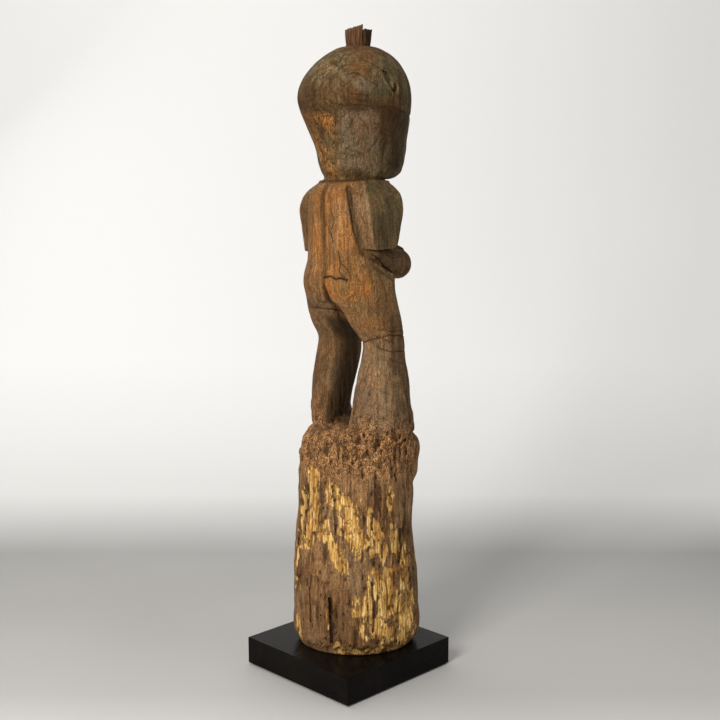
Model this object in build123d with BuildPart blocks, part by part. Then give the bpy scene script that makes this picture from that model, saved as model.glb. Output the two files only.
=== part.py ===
"""A carved post figure on a square display plinth.

One timber holds the whole carving: a standing figure with its hands on its belly, on top of the rough post
that it was cut from. A split plug is driven into the crown. Three lag screws come up through the plinth into
the post's end grain, and four felt pads carry the plinth.

Millimetres, +Z up. The origin is on the floor under the plinth's centre, and the figure faces -Y.
"""

import os
from math import radians, tan

from build123d import *

# ---------------------------------------------------------------- plinth and fasteners
PLINTH_SIDE = 203.0
PLINTH_THICKNESS = 38.0
PLINTH_EASE = 0.8
PAD_RADIUS = 12.0
PAD_THICKNESS = 2.0
PAD_INSET = 20.0

SCREW_COUNT = 3
SCREW_CIRCLE_RADIUS = 42.0
SCREW_RADIUS = 5.0
SCREW_CORE_RADIUS = 3.6
SCREW_SHANK_LENGTH = 32.0
SCREW_THREAD_LENGTH = 48.0
SCREW_THREAD_PITCH = 4.0
SCREW_POINT_LENGTH = 8.0
SCREW_HEAD_ACROSS_FLATS = 17.0
SCREW_HEAD_HEIGHT = 7.0
WASHER_RADIUS = 14.0
WASHER_THICKNESS = 2.5
WASHER_HOLE_RADIUS = 5.5
RECESS_RADIUS = 16.0
RECESS_DEPTH = 12.0
SCREW_HOLE_RADIUS = 5.5
PILOT_CLEARANCE = 0.05

# ---------------------------------------------------------------- the carving
FIGURE_CENTRE = (-6.0, -6.0)
PLINTH_TOP = PAD_THICKNESS + PLINTH_THICKNESS

# The trunk is oval, with its wide way at 45 degrees to the figure. Height, shift along the wide way, half
# wide, half deep.
TRUNK_TURN = 45.0
POST_SECTIONS = [
    (PLINTH_TOP, 2.0, 78.0, 66.0),
    (50.0, 2.5, 85.5, 74.0),
    (95.0, 3.0, 89.0, 80.0),
    (175.0, 2.0, 84.5, 77.0),
    (225.0, 0.0, 79.0, 75.0),
    (275.0, 1.5, 78.0, 74.0),
    (320.0, 1.0, 74.0, 71.0),
    (348.0, 0.0, 64.0, 60.0),
]

# The legs' sections lie along the turned-out feet. Height, centre out from the middle, centre back, half
# length towards the toes, half width across them.
LEG_TURN = 45.0
LEG_SECTIONS = [
    (322.0, 44.0, -6.0, 34.0, 20.0),
    (353.0, 49.5, -0.5, 42.5, 24.5),
    (387.0, 49.0, -3.0, 38.0, 27.0),
    (424.0, 46.7, -7.5, 33.0, 29.0),
    (462.0, 43.5, -13.5, 28.5, 29.0),
    (494.0, 38.0, -3.5, 35.0, 34.5),
    (535.0, 30.0, 8.5, 40.0, 39.0),
    (565.0, 27.0, 8.0, 38.0, 38.0),
]

# Height, centre back, half width, half depth, corner radius.
TORSO_SECTIONS = [
    (530.0, 8.0, 50.0, 42.0, 33.0),
    (548.0, 9.5, 56.0, 48.0, 33.0),
    (578.0, 7.0, 53.5, 49.0, 34.0),
    (600.0, 5.5, 50.0, 51.0, 31.0),
    (625.0, 5.0, 47.0, 52.5, 29.0),
    (650.0, 5.0, 45.0, 53.0, 29.0),
    (672.0, 4.0, 43.0, 50.0, 31.0),
    (683.0, 2.0, 38.0, 42.0, 36.0),
]

# Height, centre out, centre back, half width, half depth, corner radius of one upper arm.
ARM_SECTIONS = [
    (590.0, 55.8, 6.4, 9.8, 19.5, 4.0),
    (622.0, 52.5, 7.0, 14.0, 28.3, 4.5),
    (652.0, 48.8, 6.5, 15.8, 33.0, 4.5),
    (671.0, 41.5, 2.8, 14.0, 31.5, 5.0),
    (681.0, 35.0, 1.2, 10.5, 24.5, 6.0),
]
ELBOW = (56.0, 15.0, 590.0)
WRIST = (47.0, -36.0, 575.0)
ELBOW_RADIUS = 9.5
WRIST_RADIUS = 16.0
HAND_CENTRE = (30.0, -42.0, 571.0)
HAND_LENGTH = 26.0
HAND_RADIUS = 19.0
HAND_TURN = 28.0

NECK_BOTTOM, NECK_TOP = 676.0, 700.0
NECK_CENTRE_BACK = -1.0
NECK_HALF_WIDTH, NECK_HALF_DEPTH = 39.0, 41.0

# Height, centre back, half width, half depth.
JAW_SECTIONS = [
    (688.0, -11.0, 39.5, 49.5),
    (702.0, -14.0, 47.5, 60.0),
    (726.0, -12.5, 53.5, 67.0),
    (753.0, -8.0, 62.0, 73.0),
    (775.0, -3.5, 68.5, 77.5),
    (792.0, -1.5, 71.0, 79.5),
]
DOME_SECTIONS = [
    (792.0, -1.5, 71.0, 79.5),
    (812.0, -3.0, 67.0, 75.5),
    (829.0, -5.5, 58.5, 65.5),
    (842.0, -7.5, 47.5, 53.0),
    (853.0, -9.0, 33.5, 37.0),
    (859.0, -9.0, 20.5, 21.5),
]

# The face is hollowed out under the brow. A wedge of a nose, two almond eyes and a mouth stand up inside it.
FACE_HOLLOW_CENTRE = (0.0, -120.0, 733.0)
FACE_HOLLOW_RADIUS, FACE_HOLLOW_HALF_HEIGHT = 53.0, 52.0
NOSE_BACK = -71.0
NOSE_TOP, NOSE_BOTTOM = 766.0, 731.0
NOSE_HALF_WIDTH_TOP, NOSE_HALF_WIDTH_BOTTOM = 4.5, 10.0
NOSE_HALF_DEPTH_TOP, NOSE_HALF_DEPTH_BOTTOM = 7.0, 12.0
EYE = (19.5, -67.5, 749.0)
EYE_TURN = 18.0
EYE_HALF_LENGTH, EYE_RADIUS = 11.5, 5.6
MOUTH = (0.0, -69.0, 714.5)
MOUTH_HALF_LENGTH, MOUTH_RADIUS = 15.0, 5.0
LIP_GAP_LENGTH, LIP_GAP_DEPTH, LIP_GAP_HEIGHT = 22.0, 3.0, 1.2

EAR_HEIGHT = 811.0
EAR_BACK = 0.0
EAR_OUT = 60.0
EAR_HALF_HEIGHT, EAR_HALF_DEPTH, EAR_THICKNESS = 17.0, 10.0, 11.5
EAR_LEAN = 22.0
EAR_RIM, EAR_HOLLOW_DEPTH = 3.6, 3.5

# Feet: blunt blocks that hang over the post's front edge, with four shallow cuts between the toes.
FOOT_OUT = 49.0
FOOT_BACK = -47.0
FOOT_TURN = 30.0
FOOT_WIDTH, FOOT_LENGTH, FOOT_HEIGHT = 42.0, 38.0, 62.0
FOOT_BOTTOM = 275.0
FOOT_ROUND = 12.0
TOE_PITCH = 8.0
TOE_CUT_WIDTH, TOE_CUT_DEPTH, TOE_CUT_HEIGHT = 1.6, 4.0, 22.0

# Grooves down the spine and behind each arm, from top to bottom.
GROOVE_RADIUS = 3.0
SPINE_POINTS = [(0.0, 46.0, 686.0), (0.0, 57.5, 656.0), (0.0, 57.5, 545.0), (0.0, 48.0, 522.0)]
ARM_GROOVE_POINTS = [(31.0, 38.0, 684.0), (39.0, 45.0, 655.0), (44.0, 40.0, 622.0), (50.5, 33.0, 588.0)]

# ---------------------------------------------------------------- crown plug
PLUG_CENTRE_BACK = -8.0
PLUG_BOTTOM, PLUG_TOP = 818.0, 888.0
PLUG_FOOT_RADIUS = 12.3
PLUG_HEAD_RADIUS = 18.6
PLUG_SPLIT_TURN = -45.0
PLUG_SPLIT_SHIFT = 6.0
PLUG_SPLIT_GAP = 0.8
TALL_SLOPE = 17.0
SHORT_DROP = 6.0
SOCKET_FLOOR = 816.0

os.makedirs("parts", exist_ok=True)


def in_figure(x, y, z=0.0):
    """A point of the carving, moved from the figure's own middle to the plinth's."""
    return Vector(FIGURE_CENTRE[0] + x, FIGURE_CENTRE[1] + y, z)


def level(z):
    """A horizontal plane at a height, centred on the figure."""
    return Plane(in_figure(0, 0, z))


def screw_places():
    """Where the three lag screws stand under the post."""
    return PolarLocations(SCREW_CIRCLE_RADIUS, SCREW_COUNT, start_angle=90)


def plug_plane(z):
    """A horizontal plane on the plug's axis, turned so that its X runs across the split."""
    return Plane(
        in_figure(0, PLUG_CENTRE_BACK, z), x_dir=Vector(1, 0, 0).rotate(Axis.Z, -PLUG_SPLIT_TURN)
    )


def save(piece, name):
    piece.part.label = name
    export_step(piece.part, f"parts/{name}.step")
    print(name, "solids", len(piece.part.solids()), "volume", round(piece.part.volume))


# ---------------------------------------------------------------- carved figure, one timber
SCREW_TIP = PAD_THICKNESS + RECESS_DEPTH - WASHER_THICKNESS + (
    SCREW_SHANK_LENGTH + SCREW_THREAD_LENGTH + SCREW_POINT_LENGTH
)

with BuildPart() as foot:
    Box(FOOT_WIDTH, FOOT_LENGTH, FOOT_HEIGHT, align=(Align.CENTER, Align.CENTER, Align.MIN))
    fillet(foot.edges(), FOOT_ROUND)
    with GridLocations(TOE_PITCH, 1, 4, 1):
        with Locations((0, -FOOT_LENGTH / 2, 0)):
            Box(
                TOE_CUT_WIDTH,
                2 * TOE_CUT_DEPTH,
                TOE_CUT_HEIGHT,
                align=(Align.CENTER, Align.CENTER, Align.MIN),
                mode=Mode.SUBTRACT,
            )

with BuildPart() as carved_figure:
    # Post
    for z, shift, half_wide, half_deep in POST_SECTIONS:
        with BuildSketch(level(z)):
            diagonal = -shift / 2**0.5
            with Locations((diagonal, diagonal)):
                Ellipse(half_wide, half_deep, rotation=TRUNK_TURN)
    loft()
    # Legs
    for side in (-1, 1):
        for z, out, back, half_length, half_width in LEG_SECTIONS:
            with BuildSketch(level(z)):
                with Locations((side * out, back)):
                    Ellipse(half_length, half_width, rotation=-side * LEG_TURN)
        loft()
    # Torso
    for z, back, half_width, half_depth, corner in TORSO_SECTIONS:
        with BuildSketch(level(z)):
            with Locations((0, back)):
                RectangleRounded(2 * half_width, 2 * half_depth, corner)
    loft()
    # Upper arms, forearms and hands
    for side in (-1, 1):
        for z, out, back, half_width, half_depth, corner in ARM_SECTIONS:
            with BuildSketch(level(z)):
                with Locations((side * out, back)):
                    RectangleRounded(2 * half_width, 2 * half_depth, corner)
        loft()
        elbow = in_figure(side * ELBOW[0], *ELBOW[1:])
        wrist = in_figure(side * WRIST[0], *WRIST[1:])
        with BuildSketch(Plane(elbow, z_dir=wrist - elbow)):
            Circle(ELBOW_RADIUS)
        with BuildSketch(Plane(wrist, z_dir=wrist - elbow)):
            Circle(WRIST_RADIUS)
        loft()
        with Locations(elbow):
            Sphere(ELBOW_RADIUS)
        hand = Plane(
            in_figure(side * HAND_CENTRE[0], *HAND_CENTRE[1:]),
            x_dir=Vector(1, 0, 0).rotate(Axis.Z, side * HAND_TURN),
            z_dir=(0, 0, 1),
        )
        with BuildSketch(hand):
            Ellipse(HAND_LENGTH, HAND_RADIUS)
            split(bisect_by=Plane.XZ, keep=Keep.BOTTOM)
        revolve(axis=Axis(hand.origin, hand.x_dir))
    # Neck, jaw and dome
    for z in (NECK_BOTTOM, NECK_TOP):
        with BuildSketch(level(z)):
            with Locations((0, NECK_CENTRE_BACK)):
                Ellipse(NECK_HALF_WIDTH, NECK_HALF_DEPTH)
    loft()
    for sections in (JAW_SECTIONS, DOME_SECTIONS):
        for z, back, half_width, half_depth in sections:
            with BuildSketch(level(z)):
                with Locations((0, back)):
                    Ellipse(half_width, half_depth)
        loft()
    # Face in low relief
    with BuildSketch(Plane(in_figure(*FACE_HOLLOW_CENTRE), x_dir=(1, 0, 0), z_dir=(0, -1, 0))):
        Ellipse(FACE_HOLLOW_RADIUS, FACE_HOLLOW_HALF_HEIGHT)
        split(bisect_by=Plane.YZ, keep=Keep.TOP)
    revolve(axis=Axis(in_figure(*FACE_HOLLOW_CENTRE), (0, 0, 1)), mode=Mode.SUBTRACT)
    with BuildSketch(Plane(in_figure(0, NOSE_BACK, NOSE_BOTTOM))):
        Ellipse(NOSE_HALF_WIDTH_BOTTOM, NOSE_HALF_DEPTH_BOTTOM)
    with BuildSketch(Plane(in_figure(0, NOSE_BACK, NOSE_TOP))):
        Ellipse(NOSE_HALF_WIDTH_TOP, NOSE_HALF_DEPTH_TOP)
    loft()
    almonds = [(MOUTH, 0.0, MOUTH_HALF_LENGTH, MOUTH_RADIUS)]
    for side in (-1, 1):
        almonds.append(((side * EYE[0], *EYE[1:]), side * EYE_TURN, EYE_HALF_LENGTH, EYE_RADIUS))
    for centre, turn, half_length, radius in almonds:
        almond = Plane(in_figure(*centre), x_dir=Vector(1, 0, 0).rotate(Axis.Z, turn), z_dir=(0, 0, 1))
        with BuildSketch(almond):
            Ellipse(half_length, radius)
            split(bisect_by=Plane.XZ, keep=Keep.BOTTOM)
        revolve(axis=Axis(almond.origin, almond.x_dir))
    with Locations(in_figure(0, MOUTH[1] - MOUTH_RADIUS, MOUTH[2])):
        Box(LIP_GAP_LENGTH, 2 * LIP_GAP_DEPTH, LIP_GAP_HEIGHT, mode=Mode.SUBTRACT)
    # Ears
    for side in (-1, 1):
        ear = Plane(in_figure(side * EAR_OUT, EAR_BACK, EAR_HEIGHT), x_dir=(0, side, 0), z_dir=(side, 0, 0))
        with BuildSketch(ear):
            Ellipse(EAR_HALF_DEPTH, EAR_HALF_HEIGHT, rotation=-EAR_LEAN * side)
        extrude(amount=EAR_THICKNESS)
        with BuildSketch(ear.offset(EAR_THICKNESS)):
            Ellipse(EAR_HALF_DEPTH - EAR_RIM, EAR_HALF_HEIGHT - EAR_RIM, rotation=-EAR_LEAN * side)
        extrude(amount=-EAR_HOLLOW_DEPTH, mode=Mode.SUBTRACT)
    # Feet
    for side in (-1, 1):
        heel = Location(in_figure(side * FOOT_OUT, FOOT_BACK, FOOT_BOTTOM), (0, 0, side * FOOT_TURN))
        with Locations(heel):
            add(foot.part)
    # Spine and arm grooves
    grooves = [SPINE_POINTS]
    for side in (-1, 1):
        grooves.append([(side * x, y, z) for x, y, z in ARM_GROOVE_POINTS])
    for groove in grooves:
        for top, bottom in zip(groove, groove[1:]):
            start, end = in_figure(*top), in_figure(*bottom)
            with BuildSketch(Plane(start, z_dir=end - start)):
                Circle(GROOVE_RADIUS)
            extrude(amount=(end - start).length, mode=Mode.SUBTRACT)
    # Socket for the crown plug
    with BuildSketch(plug_plane(SOCKET_FLOOR)):
        Circle(PLUG_FOOT_RADIUS)
    with BuildSketch(plug_plane(PLUG_BOTTOM)):
        Circle(PLUG_FOOT_RADIUS)
    loft(mode=Mode.SUBTRACT)
    with BuildSketch(plug_plane(PLUG_BOTTOM)):
        Circle(PLUG_FOOT_RADIUS)
    with BuildSketch(plug_plane(PLUG_TOP)):
        Circle(PLUG_HEAD_RADIUS)
    loft(mode=Mode.SUBTRACT)
    # Pilot bores for the lag screws
    with BuildSketch(Plane.XY.offset(PLINTH_TOP)):
        with screw_places():
            Circle(SCREW_RADIUS + PILOT_CLEARANCE)
    extrude(amount=SCREW_TIP - PLINTH_TOP + 1, mode=Mode.SUBTRACT)

save(carved_figure, "carved_figure")

# ---------------------------------------------------------------- crown plug, split in two
for name, side, top_drop, slope in (
    ("crown_plug_tall_half", 1, 0.0, TALL_SLOPE),
    ("crown_plug_short_half", -1, SHORT_DROP, 0.0),
):
    with BuildPart() as plug_half:
        with BuildSketch(plug_plane(PLUG_BOTTOM)):
            Circle(PLUG_FOOT_RADIUS)
        with BuildSketch(plug_plane(PLUG_TOP)):
            Circle(PLUG_HEAD_RADIUS)
        loft()
        # Keep one side of the split
        split_face = plug_plane(0).x_dir * (-PLUG_SPLIT_SHIFT + side * PLUG_SPLIT_GAP / 2)
        split(
            bisect_by=Plane(in_figure(0, PLUG_CENTRE_BACK) + split_face, z_dir=plug_plane(0).x_dir * side),
            keep=Keep.TOP,
        )
        # Broken top, which rises towards the split on the tall half
        rise = tan(radians(slope))
        split(
            bisect_by=Plane(
                in_figure(0, PLUG_CENTRE_BACK, PLUG_TOP - top_drop) + split_face,
                z_dir=Vector(0, 0, 1) + plug_plane(0).x_dir * rise,
            ),
            keep=Keep.BOTTOM,
        )
    save(plug_half, name)

# ---------------------------------------------------------------- plinth
with BuildPart() as plinth:
    with BuildSketch(Plane.XY.offset(PAD_THICKNESS)):
        Rectangle(PLINTH_SIDE, PLINTH_SIDE)
    extrude(amount=PLINTH_THICKNESS)
    chamfer(plinth.edges(), PLINTH_EASE)
    with BuildSketch(Plane.XY.offset(PAD_THICKNESS)):
        with screw_places():
            Circle(RECESS_RADIUS)
    extrude(amount=RECESS_DEPTH, mode=Mode.SUBTRACT)
    with BuildSketch(Plane.XY.offset(PAD_THICKNESS + RECESS_DEPTH)):
        with screw_places():
            Circle(SCREW_HOLE_RADIUS)
    extrude(amount=PLINTH_THICKNESS - RECESS_DEPTH, mode=Mode.SUBTRACT)
save(plinth, "plinth")

# ---------------------------------------------------------------- lag screws and washers
SEAT = PAD_THICKNESS + RECESS_DEPTH
HEAD_TOP = SEAT - WASHER_THICKNESS

with BuildPart() as washers:
    with BuildSketch(Plane.XY.offset(HEAD_TOP)):
        with screw_places():
            Circle(WASHER_RADIUS)
            Circle(WASHER_HOLE_RADIUS, mode=Mode.SUBTRACT)
    extrude(amount=WASHER_THICKNESS)
save(washers, "washers")

with BuildPart() as lag_screws:
    for place in screw_places():
        axis = Axis(place.position, (0, 0, 1))
        with BuildSketch(Plane(place.position + (0, 0, HEAD_TOP - SCREW_HEAD_HEIGHT))):
            RegularPolygon(SCREW_HEAD_ACROSS_FLATS / 2, 6, major_radius=False)
        extrude(amount=SCREW_HEAD_HEIGHT)
        shank_top = HEAD_TOP + SCREW_SHANK_LENGTH
        thread_top = shank_top + SCREW_THREAD_LENGTH
        rings = int(SCREW_THREAD_LENGTH / SCREW_THREAD_PITCH)
        outline = [(0, HEAD_TOP), (SCREW_RADIUS, HEAD_TOP), (SCREW_RADIUS, shank_top)]
        for ring in range(rings):
            root = shank_top + ring * SCREW_THREAD_PITCH
            outline.append((SCREW_CORE_RADIUS, root + SCREW_THREAD_PITCH / 4))
            outline.append((SCREW_CORE_RADIUS, root + SCREW_THREAD_PITCH / 2))
            outline.append((SCREW_RADIUS, root + SCREW_THREAD_PITCH * 0.85))
            outline.append((SCREW_RADIUS, root + SCREW_THREAD_PITCH))
        outline.append((SCREW_CORE_RADIUS, thread_top + 1))
        outline.append((0, thread_top + SCREW_POINT_LENGTH))
        with BuildSketch(Plane(place.position, x_dir=(1, 0, 0), z_dir=(0, -1, 0))):
            with BuildLine():
                Polyline(*outline, close=True)
            make_face()
        revolve(axis=axis)
save(lag_screws, "lag_screws")

# ---------------------------------------------------------------- felt pads
PAD_OUT = PLINTH_SIDE / 2 - PAD_INSET
for name, x, y in (
    ("felt_pad_front_left", PAD_OUT, -PAD_OUT),
    ("felt_pad_front_right", -PAD_OUT, -PAD_OUT),
    ("felt_pad_back_left", PAD_OUT, PAD_OUT),
    ("felt_pad_back_right", -PAD_OUT, PAD_OUT),
):
    with BuildPart() as pad:
        with BuildSketch():
            with Locations((x, y)):
                Circle(PAD_RADIUS)
        extrude(amount=PAD_THICKNESS)
    save(pad, name)
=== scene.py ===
"""A carved post figure on a black plinth, in Blender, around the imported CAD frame.

The timber is carved as a distance field in millimetres about the figure's own axis,
turned into a mesh, and coloured by masks that the carving leaves on it. All else is
placed from the frame.
"""

import math

import bpy
import numpy as np
import openvdb as vdb
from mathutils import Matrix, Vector


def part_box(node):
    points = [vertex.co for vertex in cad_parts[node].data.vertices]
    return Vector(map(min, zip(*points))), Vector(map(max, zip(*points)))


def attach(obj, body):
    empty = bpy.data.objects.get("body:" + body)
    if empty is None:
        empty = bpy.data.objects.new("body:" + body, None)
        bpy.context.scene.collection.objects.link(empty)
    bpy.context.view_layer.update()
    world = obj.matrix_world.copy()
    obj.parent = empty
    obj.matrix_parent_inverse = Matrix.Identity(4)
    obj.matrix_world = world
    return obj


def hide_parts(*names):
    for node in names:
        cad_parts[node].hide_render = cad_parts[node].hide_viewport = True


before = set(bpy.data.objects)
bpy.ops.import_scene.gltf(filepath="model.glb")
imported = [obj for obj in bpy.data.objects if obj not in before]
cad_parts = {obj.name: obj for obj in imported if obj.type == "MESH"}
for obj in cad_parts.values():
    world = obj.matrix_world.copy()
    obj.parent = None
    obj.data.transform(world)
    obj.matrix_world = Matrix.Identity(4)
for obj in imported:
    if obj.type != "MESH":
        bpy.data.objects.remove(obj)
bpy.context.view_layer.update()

AXIS = np.array([-6.0, -6.0, 0.0])  # the figure's own axis, from the plinth's centre, mm
PLINTH_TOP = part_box("plinth")[1][2] * 1000
LOG_VOXEL = 1.3
PLUG_VOXEL = 0.6
ROOT2 = math.sqrt(2)
F = np.float32
TINY = 1e-6
FAR = 20  # mm, what a field says well outside

# ---------------------------------------------------------------- the timber's sections, mm
# Height, shift, half wide and half deep, along and across the trunk's wide way.
POST = [
    (PLINTH_TOP - 4, 2.0, 77.0, 64.0),
    (PLINTH_TOP + 1, 2.0, 79.5, 67.0),
    (52.0, 2.5, 85.5, 74.5),
    (95.0, 2.5, 88.5, 80.0),
    (140.0, 1.5, 87.0, 79.0),
    (175.0, 0.5, 84.0, 77.0),
    (212.0, 0.0, 80.5, 75.5),
    (245.0, 1.5, 80.5, 74.5),
    (285.0, 2.0, 79.0, 73.5),
    (318.0, 2.0, 76.0, 71.0),
    (336.0, 1.0, 71.0, 66.0),
    (350.0, 0.0, 58.0, 54.0),
]
# Height, out from the middle, back, half length towards the toes, half width across them.
LEG = [
    (300.0, 42.0, -6.0, 32.0, 18.0),
    (330.0, 48.0, -5.0, 41.0, 21.0),
    (353.0, 51.0, -2.0, 45.5, 25.0),
    (387.0, 50.2, -2.7, 40.2, 26.3),
    (424.0, 47.5, -8.3, 34.5, 29.0),
    (450.0, 44.6, -12.0, 29.0, 29.0),
    (466.0, 43.0, -13.5, 28.0, 29.5),
    (494.0, 38.5, -3.0, 35.5, 35.5),
    (535.0, 30.5, 8.5, 40.0, 39.0),
    (572.0, 27.0, 8.0, 38.0, 37.0),
]
# Height, back, half width, half depth, corner.
TORSO = [
    (524.0, 8.0, 48.0, 40.0, 33.0),
    (548.0, 9.5, 56.0, 48.0, 33.0),
    (578.0, 7.0, 53.5, 48.5, 32.0),
    (598.0, 6.0, 50.5, 50.0, 30.0),
    (622.0, 5.0, 47.0, 52.0, 29.0),
    (650.0, 5.0, 45.0, 53.0, 29.0),
    (672.0, 4.0, 43.0, 50.5, 31.0),
    (688.0, 1.0, 38.0, 41.0, 35.0),
]
# Height, out, back, half width, half depth.
ARM = [
    (588.0, 59.8, 10.8, 9.7, 19.2),
    (622.0, 53.3, 10.0, 14.6, 28.0),
    (652.0, 49.6, 9.5, 16.4, 32.8),
    (671.0, 41.8, 5.5, 14.2, 31.0),
    (682.0, 34.5, 2.5, 10.2, 24.0),
]
# Height, back, half width, half depth.
HEAD = [
    (684.0, -7.0, 33.0, 39.0),
    (687.5, -10.5, 39.5, 49.5),
    (693.0, -13.0, 45.5, 57.0),
    (703.0, -13.7, 50.0, 62.0),
    (726.0, -12.5, 53.5, 66.8),
    (753.0, -8.0, 62.0, 73.0),
    (775.0, -3.5, 68.7, 77.8),
    (792.0, -1.5, 71.2, 79.8),
    (812.0, -3.0, 67.5, 76.0),
    (829.0, -5.5, 59.4, 66.4),
    (842.0, -7.5, 49.2, 54.8),
    (853.0, -9.0, 34.8, 38.2),
    (859.5, -9.0, 20.5, 21.5),
    (862.0, -9.0, 8.0, 8.0),
]


# ---------------------------------------------------------------- distance-field tools
def smin(a, b, k):
    """The lesser of two distances, rounded over k mm where they meet."""
    h = np.maximum(k - np.abs(a - b), 0) / k
    return np.minimum(a, b) - h * h * (k / 4)


def smax(a, b, k):
    return -smin(-a, -b, k)


def ramp(value, low, high):
    """0 below low, 1 above high, and smooth between."""
    t = np.clip((value - low) / (high - low), 0, 1)
    return t * t * (3 - 2 * t)


def band(value, low, high, soft):
    """1 between low and high, with edges that are soft both ways."""
    return ramp(value, low - soft, low + soft) * (1 - ramp(value, high - soft, high + soft))


def unit(value):
    return np.clip(value, 0, 1)


def most(first, *others):
    """The greatest of several arrays, point by point."""
    for other in others:
        first = np.maximum(first, other)
    return first


def rows(z, table):
    """The columns of a table of sections, smoothly between its heights."""
    t = np.array(table, dtype=float)
    keys, cols = t[:, 0], t[:, 1:]
    slope = np.gradient(cols, keys, axis=0)
    flat = np.clip(z.ravel(), keys[0], keys[-1])
    i = np.clip(np.searchsorted(keys, flat, side="right") - 1, 0, len(keys) - 2)
    h = keys[i + 1] - keys[i]
    s = ((flat - keys[i]) / h)[:, None]
    h = h[:, None]
    out = (
        (2 * s**3 - 3 * s**2 + 1) * cols[i]
        + (s**3 - 2 * s**2 + s) * h * slope[i]
        + (3 * s**2 - 2 * s**3) * cols[i + 1]
        + (s**3 - s**2) * h * slope[i + 1]
    )
    return [out[:, c].reshape(z.shape).astype(F) for c in range(out.shape[1])]


def ellipse(x, y, a, b):
    q = np.sqrt((x / a) ** 2 + (y / b) ** 2) + TINY
    g = np.sqrt((x / a**2) ** 2 + (y / b**2) ** 2) + TINY
    return (q - 1) * q / g


def round_rect(x, y, hx, hy, r):
    qx, qy = np.abs(x) - hx + r, np.abs(y) - hy + r
    return np.sqrt(np.maximum(qx, 0) ** 2 + np.maximum(qy, 0) ** 2) + np.minimum(np.maximum(qx, qy), 0) - r


def ends(z, low, high):
    return np.maximum(z - high, low - z)


def ellipsoid(x, y, z, c, r, turn=0.0):
    """turn is about Z, in degrees."""
    ct, st = math.cos(math.radians(turn)), math.sin(math.radians(turn))
    px, py, pz = x - c[0], y - c[1], z - c[2]
    px, py = ct * px + st * py, -st * px + ct * py
    q = np.sqrt((px / r[0]) ** 2 + (py / r[1]) ** 2 + (pz / r[2]) ** 2) + TINY
    g = np.sqrt((px / r[0] ** 2) ** 2 + (py / r[1] ** 2) ** 2 + (pz / r[2] ** 2) ** 2) + TINY
    return (q - 1) * q / g


def capsule(x, y, z, a, b, ra, rb=None):
    """From a to b, with the radius going from ra to rb."""
    rb = ra if rb is None else rb
    bx, by, bz = (b[i] - a[i] for i in range(3))
    px, py, pz = x - a[0], y - a[1], z - a[2]
    h = np.clip((px * bx + py * by + pz * bz) / (bx * bx + by * by + bz * bz), 0, 1)
    return np.sqrt((px - bx * h) ** 2 + (py - by * h) ** 2 + (pz - bz * h) ** 2) - (ra + (rb - ra) * h)


class Noise:
    """Gradient noise on a repeating lattice."""

    CELLS = 32  # each way, before the lattice repeats

    def __init__(self, seed):
        g = np.random.default_rng(seed).normal(size=(self.CELLS**3, 3))
        self.g = (g / np.linalg.norm(g, axis=1)[:, None]).astype(F)

    def __call__(self, p, cell, offset=0.0):
        q = (p + F(offset)) / np.array(cell, dtype=F)
        i = np.floor(q).astype(np.int32)
        f = q - i
        w = f * f * f * (f * (f * 6 - 15) + 10)
        total = np.zeros(len(p), dtype=F)
        for corner in range(8):
            o = np.array([corner & 1, corner >> 1 & 1, corner >> 2 & 1])
            j = (i + o) & (self.CELLS - 1)
            g = self.g[(j[:, 0] * self.CELLS + j[:, 1]) * self.CELLS + j[:, 2]]
            weight = np.prod(np.where(o == 1, w, 1 - w), axis=1)
            total += weight * ((f - o.astype(F)) * g).sum(1)
        return total * F(1.6)  # which brings it to about -1 to 1


noise = Noise(11)
noise_b = Noise(23)


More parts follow.
